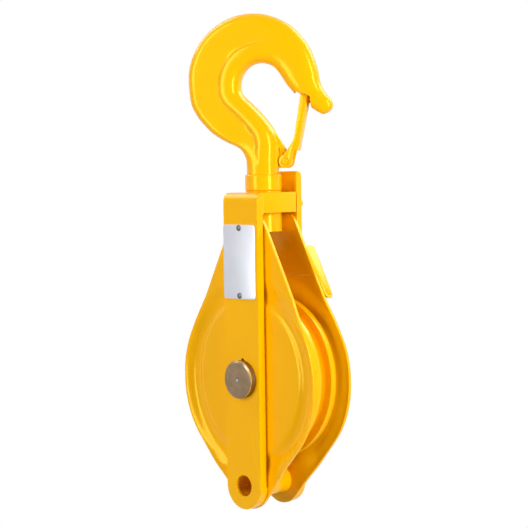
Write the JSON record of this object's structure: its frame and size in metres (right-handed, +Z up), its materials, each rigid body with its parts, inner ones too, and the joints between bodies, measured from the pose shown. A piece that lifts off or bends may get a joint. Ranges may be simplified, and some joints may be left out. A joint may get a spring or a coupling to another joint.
{
  "type": "hook pulley block",
  "caption": "Swivel-hook pulley block: grooved rope wheel between two cheek plates, a hinged rear gate for laying the rope in, and a hook with a safety latch.",
  "frame": {"origin": "centre of the hook's bowl, where the block hangs", "axes": "+X across the straps, +Y from the name plate's side to the gate's side, +Z up along the shank"},
  "size_m": [0.1548, 0.0727, 0.4206],
  "materials": {
    "paint": "gloss yellow enamel on pressed, forged and flat steel",
    "wheel_paint": "gloss yellow enamel on a cast wheel",
    "steel": "bare turned steel",
    "spring_steel": "dark spring steel",
    "bronze": "turned bronze",
    "nipple": "plain brass",
    "plate": "satin anodised, bare",
    "rivet": "bare"
  },
  "bodies": {
    "hook_body": {"hook": "paint", "thrust_washer": "steel", "shank_nut": "paint", "nut_lock_pin": "steel", "latch_pin": "paint", "latch_spring": "spring_steel"},
    "latch": {"hook_latch": "paint"},
    "side_frame": {"front_strap": "paint", "crosshead": "paint", "front_cheek": "paint", "rear_cheek": "paint", "rear_strap": "paint", "hinge_tube": "paint", "tail_spacer": "paint", "axle_pin": "steel", "axle_dowel": "steel", "axle_ring": "spring_steel", "grease_nipple": "nipple", "front_hub_washer": "bronze", "rear_hub_washer": "bronze", "name_plate": "plate", "plate_rivets": "rivet", "keeper_stud": "paint", "keeper_washer": "steel"},
    "rope_wheel": {"sheave": "wheel_paint", "sheave_bush": "bronze"},
    "gate": {"gate_plate": "paint", "gate_bar": "paint", "hinge_pin": "steel"},
    "turn_button": {"keeper_button": "paint"}
  },
  "joints": [
    {"name": "hook_swivel", "type": "hinge", "parent": "hook_body", "child": "side_frame", "pos_m": [0, 0, -0.0902], "axis": [0, 0, 1], "continuous": true},
    {"name": "latch_pivot", "type": "hinge", "parent": "hook_body", "child": "latch", "pos_m": [0.01889, 0.00962, -0.0643], "axis": [0.454, -0.891, 0], "range_deg": [0, 32], "stiffness_Nm_per_rad": 0.06, "springref_deg": -34.38},
    {"name": "wheel_spin", "type": "hinge", "parent": "side_frame", "child": "rope_wheel", "pos_m": [0, 0, -0.2472], "axis": [0, 1, 0], "continuous": true},
    {"name": "gate_swing", "type": "hinge", "parent": "side_frame", "child": "gate", "pos_m": [0, 0.0251, -0.1752], "axis": [-1, 0, 0], "range_deg": [0, 95]},
    {"name": "button_turn", "type": "hinge", "parent": "side_frame", "child": "turn_button", "pos_m": [0, 0.031, -0.1002], "axis": [0, 1, 0], "range_deg": [0, 90]}
  ]
}
